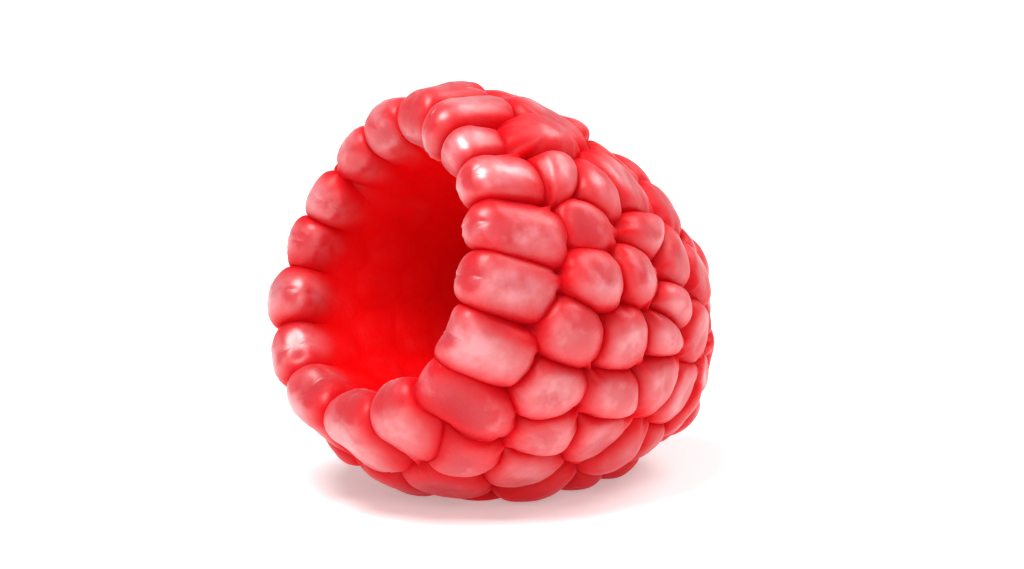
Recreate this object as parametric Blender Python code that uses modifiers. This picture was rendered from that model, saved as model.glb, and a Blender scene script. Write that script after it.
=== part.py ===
"""A picked raspberry lying on its side: one hollow, cone-shaped fruit of drupelets grown together.

The fruit is made upright in its own frame, with the middle of its open end at the origin and its
axis along +Z. It is then laid down with its open end facing -Y and its tip sunk towards +Y, as it
rests by its own weight, and pressed flat where it meets the surface.
"""

import math
import random

import bmesh
import bpy
from mathutils import Matrix, Vector

MM = 0.001

# Driving dimensions, over the tops of the drupelets.
LENGTH = 21.2 * MM  # from the rim of the open end to the tip
BELLY_RADIUS = 10.1 * MM  # the widest part
BELLY_AT = 5.4 * MM  # its distance from the rim
RIM_THICKNESS = 3.0 * MM  # the rounded wall round the mouth
RIM_RADIUS = 7.35 * MM  # from the axis to the middle of that wall
HOLLOW_DEPTH = 14.2 * MM
HOLLOW_END_RADIUS = 3.0 * MM
DRUPELET_HEIGHT = 1.1 * MM  # how far a drupelet stands above the flesh round it
REST_TILT = math.radians(22.0)  # how far the tip sinks below the level of the mouth
FLAT_DEPTH = 0.75 * MM  # how much the soft fruit is pressed flat under its own weight

# Shape of the side from the belly to the tip: radius = BELLY_RADIUS * (1 - u ** POWER) ** ROUNDNESS.
SIDE_POWER = 1.9
SIDE_ROUNDNESS = 0.54

# Rows of drupelets from the row behind the rim towards the tip: how many lie in each.
ROW_COUNTS = (20, 20, 19, 17, 14, 11, 8, 4)
FIRST_ROW = 3.6 * MM  # along the side from the rim's shoulder
LAST_ROW = 1.9 * MM  # along the side from the tip
RIM_COUNT = 16
JITTER = 0.10  # how far sizes and places vary, as a share
SEED = 7

CORE_STEPS = 32
DRUPELET_SUBDIVISIONS = 2


def clear_scene():
    for obj in list(bpy.data.objects):
        bpy.data.objects.remove(obj)


def new_collection(name):
    collection = bpy.data.collections.new(name)
    bpy.context.scene.collection.children.link(collection)
    return collection


def side_radius(z):
    """Radius over the drupelets at a height z above the rim, from the rim's shoulder to the tip."""
    if z >= BELLY_AT:
        share = (z - BELLY_AT) / (LENGTH - BELLY_AT)
        return BELLY_RADIUS * max(0.0, 1 - share**SIDE_POWER) ** SIDE_ROUNDNESS
    shoulder_at = RIM_THICKNESS / 2
    shoulder_radius = RIM_RADIUS + RIM_THICKNESS / 2
    share = (BELLY_AT - z) / (BELLY_AT - shoulder_at)
    return BELLY_RADIUS - (BELLY_RADIUS - shoulder_radius) * share**2


def side_curve(count):
    """Evenly spaced points (radius, height) from the rim's shoulder to the tip, and their whole length."""
    steps = 400
    start = RIM_THICKNESS / 2
    heights = [start + (LENGTH - start) * k / steps for k in range(steps + 1)]
    fine = [(side_radius(z), z) for z in heights]
    lengths = [0.0]
    for (r0, z0), (r1, z1) in zip(fine, fine[1:]):
        lengths.append(lengths[-1] + math.hypot(r1 - r0, z1 - z0))
    points = []
    at = 0
    for k in range(count):
        wanted = lengths[-1] * k / (count - 1)
        while at < steps - 1 and lengths[at + 1] < wanted:
            at += 1
        share = (wanted - lengths[at]) / (lengths[at + 1] - lengths[at])
        (r0, z0), (r1, z1) = fine[at], fine[at + 1]
        points.append((r0 + (r1 - r0) * share, z0 + (z1 - z0) * share))
    return points, lengths[-1]


def outward(before, after):
    """Unit normal (radius, height) of the side between two of its points, away from the flesh."""
    dr, dz = after[0] - before[0], after[1] - before[1]
    length = math.hypot(dr, dz)
    return dz / length, -dr / length


def core_profile():
    """The flesh under the drupelets as an outline (radius, height), from the tip over the rim and in."""
    side, _ = side_curve(24)
    outline = []
    for k, (radius, height) in enumerate(side[:-2]):
        nr, nz = outward(side[max(k - 1, 0)], side[k + 1])
        outline.append((radius - nr * DRUPELET_HEIGHT, height - nz * DRUPELET_HEIGHT))
    outline.append((0.0, LENGTH - 1.2 * DRUPELET_HEIGHT))
    outline.reverse()

    rim_half = RIM_THICKNESS / 2
    for k in range(1, 6):
        angle = math.pi * k / 6
        reach = rim_half - DRUPELET_HEIGHT * (1 - k / 6)
        outline.append((RIM_RADIUS + reach * math.cos(angle), rim_half - reach * math.sin(angle)))

    mouth_radius = RIM_RADIUS - rim_half
    end_at = HOLLOW_DEPTH - HOLLOW_END_RADIUS
    for k in range(5):
        share = k / 4
        radius = mouth_radius + (HOLLOW_END_RADIUS - mouth_radius) * share
        outline.append((radius, rim_half + (end_at - rim_half) * share))
    for k in range(1, 4):
        angle = math.pi / 2 * k / 4
        radius = HOLLOW_END_RADIUS * math.cos(angle)
        outline.append((radius, end_at + HOLLOW_END_RADIUS * math.sin(angle)))
    outline.append((0.0, HOLLOW_DEPTH))
    return outline


def make_core(collection):
    """The hollow flesh, turned from its outline."""
    outline = core_profile()
    mesh = bpy.data.meshes.new("flesh_outline")
    points = [(radius, 0.0, height) for radius, height in outline]
    edges = [(k, k + 1) for k in range(len(points) - 1)]
    mesh.from_pydata(points, edges, [])
    core = bpy.data.objects.new("raspberry", mesh)
    collection.objects.link(core)
    screw = core.modifiers.new("turn", "SCREW")
    screw.axis = "Z"
    screw.angle = 2 * math.pi
    screw.steps = screw.render_steps = CORE_STEPS
    screw.use_merge_vertices = True
    screw.merge_threshold = 0.00001
    return core


def frame_on_side(point, normal, azimuth):
    """Matrix at a point of the side: X round the fruit, Y along its side and Z outwards."""
    (radius, height), (nr, nz) = point, normal
    ca, sa = math.cos(azimuth), math.sin(azimuth)
    out = Vector((nr * ca, nr * sa, nz))
    around = Vector((-sa, ca, 0.0))
    along = out.cross(around)
    turn = Matrix((around, along, out)).transposed().to_4x4()
    return Matrix.Translation((radius * ca, radius * sa, height)) @ turn


def rim_places(chance):
    """Frames and half sizes of the long drupelets that fold over the rim."""
    rim_half = RIM_THICKNESS / 2
    pitch = 2 * math.pi / RIM_COUNT
    places = []
    for k in range(RIM_COUNT):
        azimuth = pitch * (k + JITTER * chance.uniform(-1, 1))
        frame = frame_on_side((RIM_RADIUS, rim_half * 1.35), (1.0, 0.0), azimuth)
        width = RIM_RADIUS * pitch * 0.70 * (1 + JITTER * chance.uniform(-1, 1))
        places.append((frame, (width, rim_half * 1.35, rim_half)))
    return places


def side_places(chance):
    """Frames and half sizes of the drupelets in rows from behind the rim to the tip."""
    side, length = side_curve(200)
    spacing = (length - FIRST_ROW - LAST_ROW) / (len(ROW_COUNTS) - 1)
    depth = 1.2 * DRUPELET_HEIGHT
    places = []
    for row, count in enumerate(ROW_COUNTS):
        pitch = 2 * math.pi / count
        for k in range(count):
            along = FIRST_ROW + spacing * (row + 0.5 * JITTER * chance.uniform(-1, 1))
            azimuth = pitch * (k + 0.5 * (row % 2) + JITTER * chance.uniform(-1, 1))
            size = 1 + JITTER * chance.uniform(-1, 1)
            at = round(along / length * (len(side) - 1))
            (radius, height), (nr, nz) = side[at], outward(side[at - 1], side[at + 1])
            sunk = (radius - nr * depth, height - nz * depth)
            half = (radius * pitch * 0.62 * size, spacing * 0.67 * size, depth)
            places.append((frame_on_side(sunk, (nr, nz), azimuth), half))

    tip = frame_on_side((0.0, LENGTH - depth), (0.0, 1.0), 0.0)
    places.append((tip, (1.5 * MM, 1.5 * MM, depth)))
    return places


def make_drupelets(collection):
    """One flattened ball for each drupelet."""
    chance = random.Random(SEED)
    for number, (frame, half) in enumerate(rim_places(chance) + side_places(chance)):
        mesh = bpy.data.meshes.new(f"drupelet_{number:03d}")
        shape = bmesh.new()
        bmesh.ops.create_icosphere(shape, subdivisions=DRUPELET_SUBDIVISIONS, radius=1.0)
        bmesh.ops.scale(shape, vec=half, verts=shape.verts)
        bmesh.ops.transform(shape, matrix=frame, verts=shape.verts)
        shape.to_mesh(mesh)
        shape.free()
        drupelet = bpy.data.objects.new(mesh.name, mesh)
        drupelet.hide_render = True
        drupelet.display_type = "WIRE"
        collection.objects.link(drupelet)


def evaluated_mesh(obj):
    graph = bpy.context.evaluated_depsgraph_get()
    return bpy.data.meshes.new_from_object(obj.evaluated_get(graph))


def grow_together(core, drupelets):
    """Joins the drupelets to the flesh in one solid."""
    join = core.modifiers.new("grow_together", "BOOLEAN")
    join.operation = "UNION"
    join.operand_type = "COLLECTION"
    join.collection = drupelets
    join.solver = "EXACT"
    mesh = evaluated_mesh(core)
    core.modifiers.clear()
    core.data = mesh


def lay_down(fruit):
    """Turns the mouth to -Y and the tip down, and sinks the lowest point by the pressed depth."""
    turn = Matrix.Rotation(-math.pi / 2 - REST_TILT, 4, "X")
    fruit.data.transform(turn)
    lows = Vector([min(v.co[i] for v in fruit.data.vertices) for i in range(3)])
    highs = Vector([max(v.co[i] for v in fruit.data.vertices) for i in range(3)])
    middle = (lows + highs) / 2
    fruit.data.transform(Matrix.Translation((-middle.x, -middle.y, -lows.z - FLAT_DEPTH)))


def press_flat(fruit, cutters):
    """Cuts off what would lie below the surface the fruit rests on."""
    size = 60 * MM
    mesh = bpy.data.meshes.new("surface")
    shape = bmesh.new()
    bmesh.ops.create_cube(shape, size=size)
    bmesh.ops.translate(shape, vec=(0, 0, -size / 2), verts=shape.verts)
    shape.to_mesh(mesh)
    shape.free()
    surface = bpy.data.objects.new("surface", mesh)
    surface.hide_render = True
    surface.display_type = "WIRE"
    cutters.objects.link(surface)
    press = fruit.modifiers.new("press_flat", "BOOLEAN")
    press.operation = "DIFFERENCE"
    press.object = surface
    press.solver = "EXACT"


def flesh_material():
    material = bpy.data.materials.new("raspberry_flesh")
    material.use_nodes = True
    shader = material.node_tree.nodes["Principled BSDF"]
    shader.inputs["Base Color"].default_value = (0.66, 0.045, 0.06, 1.0)
    shader.inputs["Roughness"].default_value = 0.42
    shader.inputs["Metallic"].default_value = 0.0
    return material


def main():
    clear_scene()
    fruit_collection = new_collection("raspberry")
    drupelets = new_collection("drupelet_shapes")
    cutters = new_collection("cutters")
    fruit = make_core(fruit_collection)
    make_drupelets(drupelets)
    grow_together(fruit, drupelets)
    lay_down(fruit)
    press_flat(fruit, cutters)
    fruit.data.materials.clear()
    fruit.data.materials.append(flesh_material())


main()
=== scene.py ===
# A picked raspberry lying on its side: drupelets grown together round a hollow, open at one end.
# The fruit is worked out upright, mouth at the origin and tip along +Z, in millimetres,
# then laid down, pressed on the surface and turned into metres.

import math

import bmesh
import bpy
import numpy as np
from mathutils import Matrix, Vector


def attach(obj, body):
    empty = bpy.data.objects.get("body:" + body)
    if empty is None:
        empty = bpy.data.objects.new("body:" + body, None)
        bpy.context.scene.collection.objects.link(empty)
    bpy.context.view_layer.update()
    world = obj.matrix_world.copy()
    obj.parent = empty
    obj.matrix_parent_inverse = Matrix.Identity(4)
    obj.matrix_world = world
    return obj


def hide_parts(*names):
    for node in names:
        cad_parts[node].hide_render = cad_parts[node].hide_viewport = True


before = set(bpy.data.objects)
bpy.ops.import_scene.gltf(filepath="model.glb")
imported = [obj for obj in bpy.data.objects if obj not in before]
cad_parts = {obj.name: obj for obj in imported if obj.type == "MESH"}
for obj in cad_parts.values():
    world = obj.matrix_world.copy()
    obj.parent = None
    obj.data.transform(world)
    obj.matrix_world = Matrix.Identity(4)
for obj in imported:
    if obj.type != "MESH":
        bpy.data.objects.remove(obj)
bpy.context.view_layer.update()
print("frame loaded")

mm = 0.001

berry = {
    "length": 21.2,  # rim to tip
    "bellyRadius": 10.1,
    "bellyAt": 5.4,  # from the rim
    "sidePower": 1.9,
    "sideRoundness": 0.54,
    "rimRadius": 7.35,  # middle of the rounded wall round the mouth
    "rimHalf": 1.5,  # half the thickness of that wall
    "hollowDepth": 14.2,
    "hollowEnd": 3.0,  # radius
    "outlineSteps": (600, 200, 200, 120),  # points on the side, the rim, the wall and its end
    "evenSteps": 2400,
    "easedCorners": 0.35,  # width of the blur that rounds the outline's corners
    "tilt": 22.0,  # degrees the tip sinks below the mouth
    "mouthAt": (0.0, -8.57, 12.08),  # middle of the mouth's plane once laid down
    "pressBand": 0.3,  # height over which the drupelets give way to the surface
    "seed": 11,
    # How the mouth strays from a circle: wave number, share of the radius, phase
    "mouthWaves": ((1, 0.011, 1.3), (2, 0.016, -2.7), (3, 0.010, 0.7), (4, 0.011, -1.2)),
    # How its edge rises and falls: wave number, millimetres, phase
    "mouthLifts": ((1, 0.50, 2.90), (2, 0.15, 1.00)),
    "mouthReach": 7.0,  # distance over which both fade towards the tip
}


def smoothStep(x, low, high):
    # 0 below low, 1 above high, and 3u^2 - 2u^3 between
    u = np.clip((x - low) / (high - low), 0.0, 1.0)
    return u * u * (3.0 - 2.0 * u)


def bell(squared, width):
    # A Gaussian of a squared distance: exp(-d^2 / (2 width^2))
    return np.exp(-squared / (2 * width**2))


def unit(vectors):
    # The same directions with length 1
    return vectors / np.linalg.norm(vectors, axis=-1, keepdims=True)


def outline():
    # The turned outline (radius, height) from the tip over the rim into the hollow.
    # Side: radius = belly * (1 - u^power)^roundness past the belly, a parabola before it.
    # Rim: half a circle. Hollow: a cone that ends in a quarter circle.
    b = berry
    half = b["rimHalf"]
    sideSteps, rimSteps, wallSteps, endSteps = b["outlineSteps"]
    z = b["length"] - (b["length"] - half) * (1 - np.cos(np.linspace(0, np.pi / 2, sideSteps)))
    u = np.clip((z - b["bellyAt"]) / (b["length"] - b["bellyAt"]), 0, 1)
    past = b["bellyRadius"] * (1 - u ** b["sidePower"]) ** b["sideRoundness"]
    v = np.clip((b["bellyAt"] - z) / (b["bellyAt"] - half), 0, 1)
    before = b["bellyRadius"] - (b["bellyRadius"] - b["rimRadius"] - half) * v**2
    side = np.stack([np.where(z >= b["bellyAt"], past, before), z], 1)
    a = np.linspace(0, np.pi, rimSteps)[1:]
    rim = np.stack([b["rimRadius"] + half * np.cos(a), half - half * np.sin(a)], 1)
    endAt = b["hollowDepth"] - b["hollowEnd"]
    w = np.linspace(0, 1, wallSteps)[1:, None]
    wall = rim[-1] + w * (np.array([b["hollowEnd"], endAt]) - rim[-1])
    a = np.linspace(0, np.pi / 2, endSteps)[1:]
    end = np.stack([b["hollowEnd"] * np.cos(a), endAt + b["hollowEnd"] * np.sin(a)], 1)
    return np.concatenate([side, rim, wall, end])


def evenOutline():
    # The outline at even steps of its length, with its corners eased by a Gaussian that is cut
    # off three widths out. It is carried past the axis on both ends first, so that it still
    # meets the axis level. Returns distances, radii, heights and both parts of the normals.
    blur = berry["easedCorners"]
    points = outline()
    steps = np.linalg.norm(np.diff(points, axis=0), axis=1)
    s = np.concatenate([[0], np.cumsum(steps)])
    even = np.linspace(0, s[-1], berry["evenSteps"])
    r = np.interp(even, s, points[:, 0])
    z = np.interp(even, s, points[:, 1])
    step = even[1]
    reach = int(3 * blur / step)
    kernel = bell((np.arange(-reach, reach + 1) * step) ** 2, blur)
    kernel /= kernel.sum()
    r = np.concatenate([-r[reach:0:-1], r, -r[-2 : -reach - 2 : -1]])
    z = np.concatenate([z[reach:0:-1], z, z[-2 : -reach - 2 : -1]])
    r = np.convolve(r, kernel, "valid")
    z = np.convolve(z, kernel, "valid")
    r[0] = r[-1] = 0.0
    dr, dz = np.gradient(r, even), np.gradient(z, even)
    size = np.hypot(dr, dz)
    return even, r, z, -dz / size, dr / size


sideLength, sideRadius, sideHeight, normalOut, normalUp = evenOutline()
print("outline drawn,", round(sideLength[-1], 1), "mm from the tip to the end of the hollow")

# Rows of drupelets from the tip to the bottom of the hollow: how many lie in each row and how
# long they are along the side. The drupelets over the rim, row 8, are in the next list instead.
rows = {
    "tipRadius": 1.25,  # of the one drupelet on the tip
    "count": (5, 8, 11, 14, 17, 19, 20, 20, 17, 14, 12, 9, 6),
    "length": (2.1, 2.25, 2.4, 2.6, 2.75, 2.9, 3.1, 3.0, 9.0, 2.4, 2.3, 2.2, 2.1),
    "rimRow": 8,
    "climb": 0.866,  # from row to row, as a share of the pitch round the fruit
    "stagger": 0.5,
    "roundJitter": 0.24,  # share of the pitch
    "alongJitter": 0.22,  # share of the row's length
    "room": 0.78,  # share of a row's length that a placed drupelet keeps free round it
    "easing": 0.4,  # how far neighbours make room for one another
    "placedEasing": 0.12,
}

# The drupelets over the rim and the large ones behind it, placed one by one: distance past the
# crest of the rim, angle round the mouth in degrees, how far each stands out and how much
# painted sheen it carries.
placedDrupelets = (
    (-0.2, 353.5, 0.05, -0.40),
    (-0.4, 17.0, 0.00, -0.10),
    (-4.4, 39.0, -0.45, -1.40),
    (-0.2, 57.0, 0.10, -0.20),
    (1.0, 81.0, 0.15, 0.00),
    (0.8, 113.0, 0.10, -0.20),
    (0.9, 135.5, -0.05, 0.00),
    (0.9, 159.5, 0.35, 0.50),
    (1.0, 182.0, -0.10, -0.60),
    (0.8, 200.0, 0.00, 0.00),
    (0.9, 225.5, -0.10, -0.20),
    (0.8, 241.5, -0.05, -0.30),
    (0.6, 266.0, 0.10, -0.40),
    (0.4, 283.0, 0.20, -0.10),
    (0.4, 298.5, 0.00, 0.00),
    (-1.8, 315.0, 0.00, 0.20),
    (-2.0, 335.5, -0.10, -0.40),
    (-6.9, 328.5, -0.30, -0.20),
    (-5.2, 314.0, 0.05, 0.80),
    (-5.2, 299.0, 0.25, 0.50),
    (-7.2, 283.0, 0.00, 0.40),
    (-7.6, 344.5, 0.20, 0.50),
    (-6.9, 3.0, 0.00, 0.10),
    (-6.9, 21.5, 0.15, 0.60),
    (-8.8, 36.5, 0.00, 0.40),
    (-5.6, 54.5, 0.00, -0.20),
    (-9.2, 51.0, 0.00, 0.40),
    (-7.8, 317.0, 0.00, 0.20),
    (-10.7, 338.5, 0.05, 0.40),
    (-10.6, 0.0, 0.05, 0.20),
    (-11.4, 18.0, 0.05, 0.30),
    (-11.6, 32.0, -0.05, 0.30),
    (-10.2, 311.0, 0.00, 0.40),
    (-11.2, 324.5, 0.05, 0.30),
    (-13.4, 330.0, 0.00, 0.00),
    (-13.7, 343.0, 0.05, 0.30),
    (-13.4, 354.5, -0.05, 0.10),
    (-13.8, 8.0, 0.05, 0.40),
    (-7.2, 265.0, -0.10, 0.20),
    (-9.8, 274.0, -0.05, 0.10),
    (-7.4, 72.0, -0.05, -0.20),
    (-7.6, 91.0, 0.00, 0.00),
    (-18.4, 307.0, -0.25, 0.00),
    (-20.4, 322.0, -0.30, 0.10),
    (-12.2, 284.0, -0.35, 0.10),
    (-21.8, 340.0, -0.35, 0.00),
    (-21.9, 3.0, -0.25, 0.00),
)


def rowTable():
    # Each row's middle and far edge along the outline, matched with polar angles on a sphere of
    # directions on which all drupelets come out about as wide as they are long.
    # There ln tan(t / 2) rises by a share of the mean pitch from one row to the next.
    count = np.array(rows["count"], float)
    length = np.array(rows["length"])
    edges = rows["tipRadius"] + np.concatenate([[0], np.cumsum(length)])
    middles = (edges[:-1] + edges[1:]) / 2
    pitch = 2 * np.pi / count
    climb = np.concatenate([[0], np.cumsum(rows["climb"] * (pitch[:-1] + pitch[1:]) / 2)])
    climb -= climb[rows["rimRow"]]
    turn = 2 * np.arctan(np.exp(climb))
    between = 2 * np.arctan(np.exp((climb[:-1] + climb[1:]) / 2))
    knotsT = [0.0, turn[0] / 2, *np.stack([turn[:-1], between], 1).ravel(), turn[-1]]
    knotsT += [(turn[-1] + np.pi) / 2, np.pi]
    knotsS = [0.0, edges[0], *np.stack([middles[:-1], edges[1:-1]], 1).ravel(), middles[-1]]
    knotsS += [edges[-1], sideLength[-1]]
    return np.array(knotsT), np.array(knotsS), middles


tableT, tableS, rowMiddle = rowTable()
crest = rowMiddle[rows["rimRow"]]


def alongOf(directions):
    # Distance along the outline, and angle round the axis, of directions on the sphere
    t = np.arctan2(np.hypot(directions[..., 0], directions[..., 1]), directions[..., 2])
    return np.interp(t, tableT, tableS), np.arctan2(directions[..., 1], directions[..., 0])


def directionsAt(s, phi):
    # The reverse: directions for distances along the outline and angles round the axis
    t = np.interp(s, tableS, tableT)
    return np.stack([np.sin(t) * np.cos(phi), np.sin(t) * np.sin(phi), np.cos(t)], -1)


def onFruit(directions, lift):
    # The point of the upright fruit in a direction, lifted off its outline by a distance, then
    # made a little uneven all round: radius and mouth swell and shrink by a few waves.
    s, phi = alongOf(directions)
    r = np.interp(s, sideLength, sideRadius) + np.interp(s, sideLength, normalOut) * lift
    z = np.interp(s, sideLength, sideHeight) + np.interp(s, sideLength, normalUp) * lift
    nearMouth = np.exp(-np.maximum(z, 0) / berry["mouthReach"])
    swell = sum(share * np.cos(wave * phi - phase) for wave, share, phase in berry["mouthWaves"])
    rise = sum(size * np.cos(wave * phi - phase) for wave, size, phase in berry["mouthLifts"])
    r = r * (1 + nearMouth * swell)
    z = z + nearMouth * rise
    return np.stack([r * np.cos(phi), r * np.sin(phi), z], -1)


def layDown(points):
    # Turns the mouth to -Y and the tip down, and sets the fruit on the surface. What would sink
    # below a thin band over the surface is squeezed into it: z = band * exp(z / band - 1).
    a = math.radians(-90 - berry["tilt"])
    c, s = math.cos(a), math.sin(a)
    x0, y0, z0 = berry["mouthAt"]
    x = points[..., 0] + x0
    y = points[..., 1] * c - points[..., 2] * s + y0
    z = points[..., 1] * s + points[..., 2] * c + z0
    band = berry["pressBand"]
    z = np.where(z < band, band * np.exp(np.minimum(z / band - 1, 0)), z)
    return np.stack([x, y, z], -1)


def sumPerCell(cell, vectors, count):
    # The sum of the vectors of each cell, which points the way of their mean
    return np.stack([np.bincount(cell, vectors[:, k], count) for k in range(3)], 1)


def cornersOf(sites):
    # The faces of the convex hull of the directions join each drupelet to its neighbours, and
    # the corner where three meet lies equally far from all three
    mesh = bmesh.new()
    for site in sites:
        mesh.verts.new(site)
    mesh.verts.index_update()
    bmesh.ops.convex_hull(mesh, input=mesh.verts[:])
    bmesh.ops.triangulate(mesh, faces=mesh.faces[:])
    triangles = np.array([[v.index for v in face.verts] for face in mesh.faces])
    mesh.free()
    a, b, c = (sites[triangles[:, k]] for k in range(3))
    inward = np.einsum("ij,ij->i", a, np.cross(b, c)) < 0
    triangles[inward] = triangles[inward][:, ::-1]
    a, b, c = (sites[triangles[:, k]] for k in range(3))
    return unit(np.cross(b - a, c - a)), triangles


skin = {
    "topVariation": 0.20,  # how unevenly far the drupelets in rows stand out
    "toneVariation": 0.5,  # and how much their painted sheen differs
    # How deep the creases lie, by the distance past the crest of the rim
    "creaseStops": (-6.0, -1.0, 1.5),
    "creaseDepths": (0.80, 0.72, 0.62),
    # The hollow, by the distance past the crest of the rim: where the drupelets fade into its
    # wall and where its colour comes in
    "fade": (1.3, 3.8),
    "hollowColour": (1.2, 3.8),
    "hollowLevel": 0.45,  # how far its wall lies behind the tops of the drupelets
    "hollowRelief": 0.05,  # how deep its own creases are
    "pitDepth": 0.80,  # extra depth where three drupelets meet, as a share
    "pitPower": 3,  # the higher, the nearer to a corner a crease begins to deepen
    "pitFading": 5,  # the higher, the sooner that ends on the way up a drupelet
    "step": 0.25,  # length of one edge along a crease
    "stepLimits": (2, 60),  # fewest and most edges along one crease
    "pathSamples": 13,  # points by which a crease's length is measured
    "rings": 12,  # of faces from a drupelet's crease to its middle
    "ringPower": 1.9,  # the higher, the more the rings crowd towards the crease
    "poleGap": 0.15,  # frames nearer to a pole than this polar angle are measured at it
    "stretchStep": 0.05,  # half the polar angle over which a frame's length is measured
    "sizeCap": 2.0,  # largest radius that counts towards a drupelet's size
    "shoulder": (0.50, 0.85),  # distance over which a drupelet rises, as a share of its radius
    "steepness": 0.5,  # the lower, the more steeply a dome leaves its crease
    "riseCap": 1.1,  # highest that a dome may get, as a share of its middle's height
    "leaning": 0.20,  # millimetres that the top rises over one radius, at most
    "dentDepth": 0.44,
    "dentChance": (-0.2, 1.0),  # below 0 there is no dent
    "dentWidth": 0.52,  # share of the drupelet's own radius
    "dentOffset": 0.28,  # from the middle, at most
    "glowWidth": 0.50,  # of the darker middle
    "contactShadeBand": (0.2, 2.4),  # height over which painted shade near the surface fades
    "swells": ((0.80, 0.085), (0.33, 0.042)),  # size and height of the unevenness all over
    # Its five waves: their directions, how much shorter each is than the last, and their shift
    "swellWays": ((1, 0.6, -0.3), (-0.5, 1, 0.7), (0.4, -0.8, 1), (0.9, 0.9, 0.2), (-1, 0.3, 0.8)),
    "swellQuickening": 0.23,
    "swellShift": 1.7,
}


def plantDrupelets(chance):
    # Directions of the drupelets' middles, how far each stands out and how much painted sheen
    # it carries: the placed ones, then rows round the axis, every other one staggered and all
    # shaken a little, wherever a placed one leaves room, and one drupelet on each pole. Each then
    # moves
    # part of the way to the mean of its corners.
    placed = np.array(placedDrupelets)
    sites = [directionsAt(crest + placed[:, 0], np.radians(placed[:, 1]))]
    taken = onFruit(sites[0], 0.0)
    stands = [placed[:, 2:]]
    for row, (count, length) in enumerate(zip(rows["count"], rows["length"])):
        if row == rows["rimRow"]:
            continue
        pitch = 2 * np.pi / count
        phi = pitch * (np.arange(count) + rows["stagger"] * (row % 2))
        phi = phi + pitch * rows["roundJitter"] * chance.uniform(-1, 1, count)
        s = rowMiddle[row] + length * rows["alongJitter"] * chance.uniform(-1, 1, count)
        stand = chance.uniform(-1, 1, (count, 2)) * (skin["topVariation"], skin["toneVariation"])
        found = directionsAt(s, phi)
        gaps = np.linalg.norm(onFruit(found, 0.0)[:, None] - taken, axis=2).min(1)
        free = gaps > rows["room"] * length
        sites.append(found[free])
        stands.append(stand[free])
    sites.append(np.array([(0.0, 0.0, 1.0), (0.0, 0.0, -1.0)]))
    stands.append(np.zeros((2, 2)))
    sites = np.concatenate(sites)
    easing = np.full(len(sites), rows["easing"])
    easing[: len(placed)] = rows["placedEasing"]
    easing[-2:] = 0.0
    corners, triangles = cornersOf(sites)
    mean = sumPerCell(triangles.ravel(), np.repeat(corners, 3, axis=0), len(sites))
    sites = unit(sites * (1 - easing[:, None]) + unit(mean) * easing[:, None])
    stand, tone = np.concatenate(stands).T
    return sites, stand, tone


def neighbourTable(owner, facing, count):
    # Each drupelet's neighbours in a table with a row per drupelet, -1 where it has no more
    order = np.argsort(owner, kind="stable")
    counts = np.bincount(owner, minlength=count)
    place = np.arange(len(owner)) - np.repeat(np.cumsum(counts) - counts, counts)
    neighbours = np.full((count, counts.max()), -1)
    neighbours[owner[order], place] = facing[order]
    return neighbours


def walkCreases(sites):
    # Cuts each crease between two drupelets into short steps that both share. Returns the
    # directions of all crease points, how near each is to a corner, |2u - 1|^power, then the
    # rings of crease points round the drupelets: the point, the drupelet and the next place in
    # the ring. Last comes the table of neighbours.
    corners, triangles = cornersOf(sites)
    n, f = len(sites), len(triangles)

    # Half-edges: one for each drupelet and each neighbour of it, in order round the drupelet
    owner = triangles.ravel()
    facing = np.roll(triangles, -1, axis=1).ravel()
    halves = np.arange(3 * f)
    key = owner * n + facing
    order = np.argsort(key)
    twin = order[np.searchsorted(key[order], facing * n + owner)]
    after = twin[3 * (halves // 3) + (halves % 3 + 2) % 3]
    left = halves // 3
    right = left[twin]
    lead = halves < twin

    # As many steps on a crease as its length on the fruit asks for
    share = np.linspace(0, 1, skin["pathSamples"])[None, :, None]
    path = unit(corners[right][:, None] * (1 - share) + corners[left][:, None] * share)
    real = onFruit(path, -skin["creaseDepths"][0])
    creaseLength = np.linalg.norm(np.diff(real, axis=1), axis=2).sum(1)
    steps = np.round(creaseLength / skin["step"]).astype(int)
    steps = np.clip(steps, *skin["stepLimits"])
    steps = np.where(lead, steps, steps[twin])

    # Corners come first, then the inner points of each crease, which its leading half owns
    innerCount = np.where(lead, steps - 1, 0)
    firstInner = f + np.cumsum(innerCount) - innerCount
    firstInner = np.where(lead, firstInner, firstInner[twin])

    # A slot is one place in the ring of one drupelet
    slotHalf = np.repeat(halves, steps)
    firstSlot = np.cumsum(steps) - steps
    slotStep = np.arange(len(slotHalf)) - firstSlot[slotHalf]
    last = slotStep == steps[slotHalf] - 1
    slotNext = np.where(last, firstSlot[after[slotHalf]], np.arange(len(slotHalf)) + 1)
    fromLead = np.where(lead[slotHalf], slotStep, steps[slotHalf] - slotStep)
    slotPoint = np.where(slotStep == 0, right[slotHalf], firstInner[slotHalf] + fromLead - 1)

    creaseCount = f + innerCount.sum()
    directions = np.zeros((creaseCount, 3))
    directions[:f] = corners
    share = np.zeros(creaseCount)
    own = lead[slotHalf] & (slotStep > 0)
    half = slotHalf[own]
    part = (slotStep[own] / steps[half])[:, None]
    between = corners[right[half]] * (1 - part) + corners[left[half]] * part
    directions[slotPoint[own]] = unit(between)
    share[slotPoint[own]] = part[:, 0]
    nearCorner = np.abs(2 * share - 1) ** skin["pitPower"]
    neighbours = neighbourTable(owner, facing, n)
    return directions, nearCorner, slotPoint, owner[slotHalf], slotNext, neighbours


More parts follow.
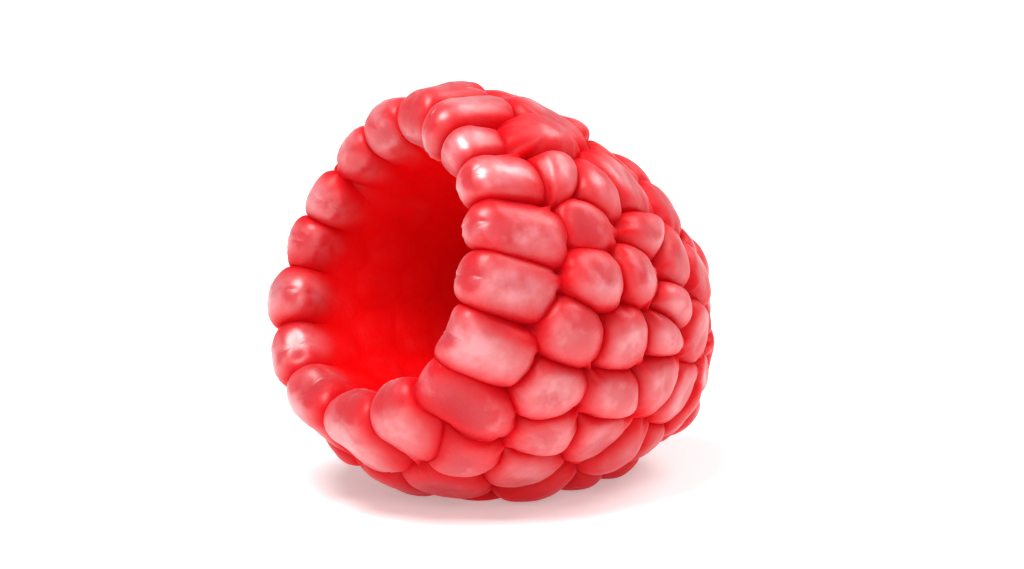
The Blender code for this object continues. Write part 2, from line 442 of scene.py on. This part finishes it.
def flatFrames(centre):
    # Each drupelet's own flat frame: one way round the fruit, one along it, and how many
    # millimetres one unit of each covers
    around = np.cross([0.0, 0.0, 1.0], centre)
    around[-2:] = (1.0, 0.0, 0.0)  # the two on the poles
    around = unit(around)
    along = np.cross(centre, around)
    gap, reach = skin["poleGap"], skin["stretchStep"]
    turn = np.clip(np.arccos(np.clip(centre[:, 2], -1, 1)), gap, np.pi - gap)
    wide = np.interp(np.interp(turn, tableT, tableS), sideLength, sideRadius) / np.sin(turn)
    tall = np.interp(turn + reach, tableT, tableS) - np.interp(turn - reach, tableT, tableS)
    return around, along, wide, tall / (2 * reach)


def domeOver(directions, cell, sites, neighbours, reach, frames):
    # How high a drupelet stands in given directions: 0 in its creases, 1 far from all of them.
    # It is the product over its neighbours of (1 - exp(-d / reach))^steepness, with d the distance
    # to the crease in between. Frames of drupelets are stretched, so d is taken in millimetres.
    around, along, wide, tall = frames
    rise = np.ones(directions.shape[:-1])
    for k in range(neighbours.shape[1]):
        other = neighbours[cell, k]
        missing = other < 0
        other = np.where(missing, (cell + 1) % len(sites), other)
        way = unit(sites[cell] - sites[other])
        across = np.einsum("ij,ij->i", way, around[cell]) / wide[cell]
        upward = np.einsum("ij,ij->i", way, along[cell]) / tall[cell]
        d = np.einsum("...ij,ij->...i", directions, way) / np.hypot(across, upward)
        d = np.where(missing, np.inf, np.maximum(d, 0.0))
        rise = rise * (1 - np.exp(-d / reach[cell])) ** skin["steepness"]
    return rise


def wander(points, scale):
    # A smooth irregular value in -1..1: the mean of five sine waves in different directions
    ways = np.array(skin["swellWays"])
    number = np.arange(len(ways))
    waves = points @ ways.T * (1 + skin["swellQuickening"] * number) / scale
    return np.sin(waves + skin["swellShift"] * number).mean(-1)


def ringFaces(creaseCount, slotPoint, slotCell, slotNext):
    # Quads from ring to ring and triangles round each drupelet's middle. Points are numbered
    # crease first, then ring by ring, then the middles.
    slots = np.arange(len(slotCell))
    ringStart = creaseCount + np.arange(skin["rings"] - 1)[:, None] * len(slotCell)
    levels = np.concatenate([slotPoint[None], ringStart + slots])
    onward = levels[:, slotNext]
    quads = np.stack([levels[:-1], onward[:-1], onward[1:], levels[1:]], -1)
    middles = creaseCount + (skin["rings"] - 1) * len(slotCell) + slotCell
    return quads.reshape(-1, 4), np.stack([levels[-1], onward[-1], middles], -1)


def growSkin():
    # All points of the skin, laid down, with its faces, the values that its looks depend on and
    # the number of drupelets
    chance = np.random.default_rng(berry["seed"])
    sites, stand, tones = plantDrupelets(chance)
    n = len(sites)
    creases, nearCorner, slotPoint, slotCell, slotNext, neighbours = walkCreases(sites)
    boundary = creases[slotPoint]
    nextBoundary = boundary[slotNext]
    width = np.linalg.norm(nextBoundary - boundary, axis=1)
    centre = unit(sumPerCell(slotCell, (boundary + nextBoundary) / 2 * width[:, None], n))

    # The crease points in each drupelet's own frame
    frames = flatFrames(centre)
    around, along, wide, tall = frames
    out = np.einsum("ij,ij->i", boundary, centre[slotCell])
    u = np.einsum("ij,ij->i", boundary, around[slotCell]) / out
    v = np.einsum("ij,ij->i", boundary, along[slotCell]) / out
    size = np.bincount(slotCell, np.minimum(np.hypot(u, v) * wide[slotCell], skin["sizeCap"]), n)
    size /= np.bincount(slotCell, minlength=n)

    # Rings between the crease and the middle: share of the way out = cos(a)^(2/p)
    rings = skin["rings"]
    a = np.linspace(0, np.pi / 2, rings + 1)[1:-1, None]
    share = np.cos(a) ** (2 / skin["ringPower"])
    u, v = share * u, share * v
    ringPoints = u[..., None] * around[slotCell] + v[..., None] * along[slotCell]
    ringPoints = unit(centre[slotCell] + ringPoints)

    # Each drupelet's dome has its own shoulders, stands out by its own height, leans, and has a
    # dent beside its middle: top = stand + lean . (x, y) - dent * bell
    reach = size * chance.uniform(*skin["shoulder"], n)
    lean = skin["leaning"] * chance.uniform(-1, 1, (n, 2))
    dent = skin["dentDepth"] * np.clip(chance.uniform(*skin["dentChance"], n), 0, 1)
    dentAt = skin["dentOffset"] * chance.uniform(-1, 1, (n, 2))
    middleRise = domeOver(centre, np.arange(n), sites, neighbours, reach, frames)
    rise = domeOver(ringPoints, slotCell, sites, neighbours, reach, frames)
    rise = np.minimum(rise / middleRise[slotCell], skin["riseCap"])
    cell = np.concatenate([np.tile(slotCell, rings - 1), np.arange(n)])
    x = np.concatenate([(u * (wide / size)[slotCell]).ravel(), np.zeros(n)])
    y = np.concatenate([(v * (tall / size)[slotCell]).ravel(), np.zeros(n)])
    away = (x - dentAt[cell, 0]) ** 2 + (y - dentAt[cell, 1]) ** 2
    tops = stand[cell] + x * lean[cell, 0] + y * lean[cell, 1]
    tops = tops - dent[cell] * bell(away, skin["dentWidth"])

    # Crease points, rings and middles in one: lift = top * height - depth * (1 - height),
    # which fades into the nearly level wall of the hollow
    onCrease = np.zeros(len(creases))
    directions = np.concatenate([creases, ringPoints.reshape(-1, 3), centre])
    height = np.concatenate([onCrease, rise.ravel(), np.ones(n)])
    ringPit = share ** skin["pitFading"] * nearCorner[slotPoint]
    pit = np.concatenate([nearCorner, ringPit.ravel(), np.zeros(n)])
    tops = np.concatenate([onCrease, tops])
    s, _ = alongOf(directions)
    depth = np.interp(s - crest, skin["creaseStops"], skin["creaseDepths"])
    depth = depth * (1 + skin["pitDepth"] * pit)
    fade = smoothStep(s - crest, *skin["fade"])
    lifts = (tops * height - depth * (1 - height)) * (1 - fade)
    lifts = lifts - (skin["hollowLevel"] + skin["hollowRelief"] * (1 - height**2)) * fade
    points = onFruit(directions, lifts)
    for scale, amount in skin["swells"]:
        points = points + amount * wander(points, scale)[:, None] * unit(points)
    points = layDown(points)

    layers = {
        "height": height,
        "tone": np.concatenate([onCrease, tones[cell]]),
        "middle": np.concatenate([onCrease, bell(away, skin["glowWidth"])]),
        "hollow": smoothStep(s - crest, *skin["hollowColour"]),
        # Painted shade near the surface: 0 at the bottom, 1 higher up
        "aboveContactShade": smoothStep(points[:, 2], *skin["contactShadeBand"]),
    }
    quads, caps = ringFaces(len(creases), slotPoint, slotCell, slotNext)
    return points, quads, caps, layers, n


def meshFrom(name, points, quads, caps, layers):
    # A mesh from whole arrays: points in millimetres, faces of four and of three corners, and
    # an attribute for each layer of values
    loops = np.concatenate([quads.ravel(), caps.ravel()])
    sizes = np.repeat([4, 3], [len(quads), len(caps)])
    mesh = bpy.data.meshes.new(name)
    mesh.vertices.add(len(points))
    mesh.vertices.foreach_set("co", (points * mm).astype(np.float32).ravel())
    mesh.loops.add(len(loops))
    mesh.loops.foreach_set("vertex_index", loops.astype(np.int32))
    mesh.polygons.add(len(sizes))
    mesh.polygons.foreach_set("loop_start", (np.cumsum(sizes) - sizes).astype(np.int32))
    mesh.update(calc_edges=True)
    mesh.polygons.foreach_set("use_smooth", np.ones(len(sizes), bool))
    for key, values in layers.items():
        layer = mesh.attributes.new(key, "FLOAT", "POINT")
        layer.data.foreach_set("value", values.astype(np.float32))
    mesh.validate()
    thing = bpy.data.objects.new(name, mesh)
    bpy.context.collection.objects.link(thing)
    return thing


class Wire:
    # A shader value that arithmetic can be written with: each operator adds its Math node

    def __init__(self, tree, socket):
        self.tree = tree
        self.socket = socket

    def math(self, operation, *others):
        return addNode(self.tree, "ShaderNodeMath", {"operation": operation}, [self, *others])

    def __add__(self, other):
        return self.math("ADD", other)

    def __sub__(self, other):
        return self.math("SUBTRACT", other)

    def __mul__(self, other):
        return self.math("MULTIPLY", other)

    def __pow__(self, other):
        return self.math("POWER", other)

    def __rsub__(self, other):
        return addNode(self.tree, "ShaderNodeMath", {"operation": "SUBTRACT"}, [other, self])

    __radd__ = __add__
    __rmul__ = __mul__


def fillSockets(tree, node, inputs):
    # Values or wires for a node's sockets, by name or in order
    named = inputs.items() if isinstance(inputs, dict) else enumerate(inputs)
    for key, value in named:
        if isinstance(value, Wire):
            tree.links.new(value.socket, node.inputs[key])
        else:
            node.inputs[key].default_value = value


def addNode(tree, kind, settings=None, inputs=(), output=0):
    # Any other node: its settings first, then its sockets
    node = tree.nodes.new(kind)
    for key, value in (settings or {}).items():
        setattr(node, key, value)
    fillSockets(tree, node, inputs)
    return Wire(tree, node.outputs[output])


def mixColours(tree, factor, first, second):
    # A Mix node set to colours takes its factor in socket 0 and the colours in sockets 6 and 7,
    # and gives the mixed colour in its output 2
    settings = {"data_type": "RGBA", "blend_type": "MIX", "clamp_factor": True}
    return addNode(tree, "ShaderNodeMix", settings, {0: factor, 6: first, 7: second}, 2)


def newMaterial(name):
    # A new material, its node tree and the Principled shader that it starts with
    material = bpy.data.materials.new(name)
    material.use_nodes = True
    shader = material.node_tree.nodes["Principled BSDF"]
    return material, material.node_tree, shader


flesh = {
    # crease: painted shade in the creases, its extra red a painted glow through the flesh
    "crease": (0.56, 0.002, 0.006, 1),
    "body": (0.48, 0.016, 0.026, 1),
    # pale: painted sheen that the drupelet tops take on under the lamps
    "pale": (0.58, 0.155, 0.175, 1),
    "hollow": (0.70, 0.000, 0.001, 1),
    "bodyPower": 2.0,  # the higher, the further up the painted crease shade reaches before the body's colour
    # The painted sheen on the tops: how near the top it comes in, how much there is of it, how
    # much it varies from drupelet to drupelet, and how much less there is over the dark middles
    "palePower": 4.0,
    "paleShare": 0.95,
    "paleTone": 0.6,
    "paleMiddle": 1.4,
    "hollowShare": 0.95,  # how much of the hollow's colour covers the rest
    # Scale and detail of the unevenness, and how strongly it shows in the painted sheen
    "blotches": {"Scale": 420.0, "Detail": 3.0},
    "wrinkles": {"Scale": 1500.0, "Detail": 2.0},
    "grain": {"Scale": 5200.0, "Detail": 2.0},
    "blotchStrength": 2.4,
    "wrinkleStrength": 2.6,
    "wrinkleHeight": 0.7,  # share of the bumps
    "grainHeight": 0.3,
    "bump": {"Strength": 0.5, "Distance": 0.00015},
    # The velvet of the tops over the moist flesh: as with the painted sheen, and how much of it
    # is missing over the dark middles
    "velvetPower": 3.0,
    "velvetShare": 0.9,
    "velvetTone": 0.5,
    "middleBare": 0.70,
    # Sockets of the two shaders: what they share, then each one's own
    "shared": {
        "Roughness": 0.48,
        "Subsurface Weight": 1.0,
        "Subsurface Radius": (1.0, 0.15, 0.12),
        "Subsurface Scale": 0.003,
    },
    "moist": {"Specular IOR Level": 0.10},
    "velvet": {
        "Specular IOR Level": 0.4,
        "Coat Weight": 1.0,
        "Coat Roughness": 0.34,
        "Coat IOR": 2.3,
        "Sheen Weight": 0.65,
        "Sheen Roughness": 0.4,
        "Sheen Tint": (1.0, 0.80, 0.82, 1),
    },
}


def fleshMaterial():
    # Soft moist flesh in the creases and the hollow, and over it on the tops a velvety skin
    material, tree, moist = newMaterial("ripe raspberry flesh")
    height, tone, hollow, middle, aboveContactShade = (
        addNode(tree, "ShaderNodeAttribute", {"attribute_name": name}, output=2)
        for name in ("height", "tone", "hollow", "middle", "aboveContactShade")
    )
    place = addNode(tree, "ShaderNodeTexCoord", output=3)
    blotch, wrinkle, grain = (
        addNode(tree, "ShaderNodeTexNoise", None, {"Vector": place, **flesh[name]})
        for name in ("blotches", "wrinkles", "grain")
    )

    # Colour: painted crease shade to body on the way up, painted sheen over it in spots towards
    # the tops, and the hollow's own red
    colour = mixColours(tree, height ** flesh["bodyPower"], flesh["crease"], flesh["body"])
    spots = (blotch - 0.5) * flesh["blotchStrength"] + (wrinkle - 0.5) * flesh["wrinkleStrength"]
    # Painted sheen, paler towards the tops and held back near the surface as painted shade
    paintedSheenAmount = flesh["paleShare"] + tone * flesh["paleTone"] + spots - middle * flesh["paleMiddle"]
    paintedSheenShare = (height ** flesh["palePower"] * aboveContactShade * paintedSheenAmount).math("MAXIMUM", 0.0)
    colour = mixColours(tree, paintedSheenShare, colour, flesh["pale"])
    colour = mixColours(tree, hollow * flesh["hollowShare"], colour, flesh["hollow"])
    bumps = wrinkle * flesh["wrinkleHeight"] + grain * flesh["grainHeight"]
    bump = addNode(tree, "ShaderNodeBump", None, {**flesh["bump"], "Height": bumps})

    # Two shaders, mixed by how much velvet covers the flesh
    shared = {"Base Color": colour, "Normal": bump, **flesh["shared"]}
    fillSockets(tree, moist, {**shared, **flesh["moist"]})
    velvet = addNode(tree, "ShaderNodeBsdfPrincipled", None, {**shared, **flesh["velvet"]})
    bare = 1.0 - middle * flesh["middleBare"]
    thickness = flesh["velvetShare"] + tone * flesh["velvetTone"]
    # Less velvet near the surface too, as painted shade there
    cover = height ** flesh["velvetPower"] * aboveContactShade * (1.0 - hollow) * bare * thickness
    moist = Wire(tree, moist.outputs[0])
    surface = addNode(tree, "ShaderNodeMixShader", None, [cover, moist, velvet])
    fillSockets(tree, tree.nodes["Material Output"], {"Surface": surface})
    return material


points, quads, caps, layers, drupeletCount = growSkin()
fruit = meshFrom("drupelets", points, quads, caps, layers)
fruit.data.materials.append(fleshMaterial())
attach(fruit, "root")
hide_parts("raspberry")
print("drupelets grown:", drupeletCount, "with", len(fruit.data.polygons), "faces")


studio = {
    "floorSize": 3.0,
    "floorColour": (0.94, 0.94, 0.94, 1),
    "floorRoughness": 0.7,
    "floorGlow": 0.32,  # lit from below like a light table
    "white": (1, 1, 1, 1),
    "air": 0.23,
    "lamps": {
        "key": {"place": (0.03, -0.16, 0.36), "size": 0.20, "power": 1.7},
        "fill": {"place": (0.30, -0.20, 0.16), "size": 0.30, "power": 0.45},
        "back": {"place": (0.06, 0.20, 0.26), "size": 0.22, "power": 0.65},
    },
    "cameraAzimuth": 51.5,
    "cameraElevation": 13.0,
    "cameraDistance": 0.60,
    "lens": 437.8,
    "nearest": 0.01,  # what the camera sees begins and ends at these distances
    "furthest": 20.0,
    "aim": (0.0, 0.0, 0.0098),
}


def areaLight(name, place, size, power):
    # A round soft lamp that points at the fruit
    light = bpy.data.lights.new(name, "AREA")
    light.shape = "DISK"
    light.size = size
    light.energy = power
    lamp = bpy.data.objects.new(name, light)
    lamp.location = place
    lamp.rotation_mode = "QUATERNION"
    lamp.rotation_quaternion = (Vector(studio["aim"]) - Vector(place)).to_track_quat("-Z", "Y")
    bpy.context.collection.objects.link(lamp)


def setStudio():
    # A pale floor, three lamps and dim white air
    bpy.ops.mesh.primitive_plane_add(size=studio["floorSize"])
    floor = bpy.context.object
    floor.name = "floor"
    material, tree, shader = newMaterial("pale floor")
    finish = {
        "Base Color": studio["floorColour"],
        "Roughness": studio["floorRoughness"],
        "Emission Color": studio["white"],
        "Emission Strength": studio["floorGlow"],
    }
    fillSockets(tree, shader, finish)
    floor.data.materials.append(material)
    for name, lamp in studio["lamps"].items():
        areaLight(name, **lamp)
    world = bpy.data.worlds.new("studio air")
    bpy.context.scene.world = world
    world.use_nodes = True
    sky = world.node_tree.nodes["Background"]
    fillSockets(world.node_tree, sky, {"Color": studio["white"], "Strength": studio["air"]})
    bpy.context.scene.view_settings.view_transform = "Standard"


def setCamera():
    # The camera looks at the fruit from its azimuth, counted from -Y towards +X
    lensData = bpy.data.cameras.new("camera")
    lensData.lens = studio["lens"]
    lensData.clip_start = studio["nearest"]
    lensData.clip_end = studio["furthest"]
    camera = bpy.data.objects.new("camera", lensData)
    bpy.context.collection.objects.link(camera)
    a = math.radians(studio["cameraAzimuth"])
    e = math.radians(studio["cameraElevation"])
    back = Vector((math.sin(a) * math.cos(e), -math.cos(a) * math.cos(e), math.sin(e)))
    camera.location = Vector(studio["aim"]) + back * studio["cameraDistance"]
    camera.rotation_mode = "QUATERNION"
    camera.rotation_quaternion = (-back).to_track_quat("-Z", "Y")
    bpy.context.scene.camera = camera


setStudio()
setCamera()
print("studio set")
